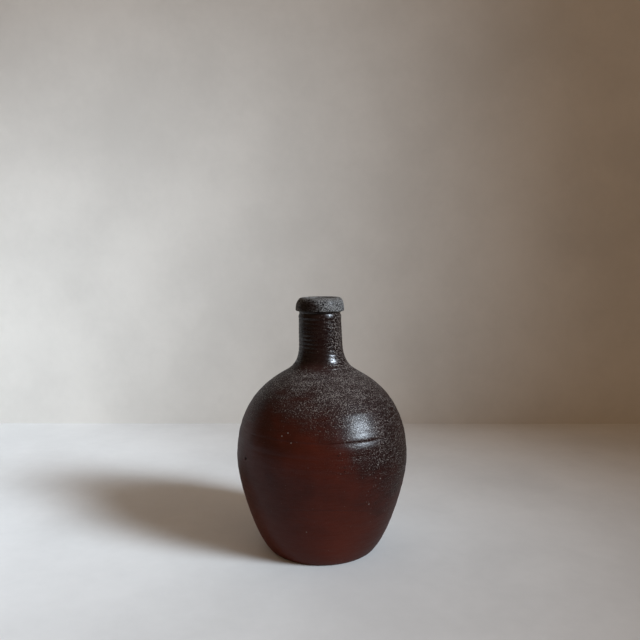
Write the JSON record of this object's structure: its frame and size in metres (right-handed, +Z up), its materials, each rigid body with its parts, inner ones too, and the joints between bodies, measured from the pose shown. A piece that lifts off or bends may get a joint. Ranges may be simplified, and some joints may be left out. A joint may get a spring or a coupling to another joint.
{
  "type": "sake bottle",
  "caption": "Round-bellied stoneware sake bottle with a tall narrow neck and a thick ring round the open mouth, for holding and pouring liquid.",
  "frame": {"origin": "centre of the flat face that the bottle stands on", "axes": "+Z up along the bottle's axis to the mouth, -Y towards the viewer who sees the front, +X to that viewer's right"},
  "size_m": [0.159, 0.159, 0.235],
  "materials": {
    "base_clay": "unglazed red-brown stoneware, matt, with wire-cut marks",
    "iron_glaze": "dark red-brown iron glaze, satin",
    "ash_glaze": "dark brown glaze under fine pale ash speckle, satin",
    "neck_glaze": "dark brown iron glaze over throwing rings, glossy satin",
    "rim_ash": "grey ash crust, rough and nearly matt"
  },
  "bodies": {
    "root": {"base_slab": "base_clay", "lower_wall": "iron_glaze", "upper_wall": "ash_glaze", "neck": "neck_glaze", "mouth_ring": "rim_ash"}
  },
  "joints": []
}
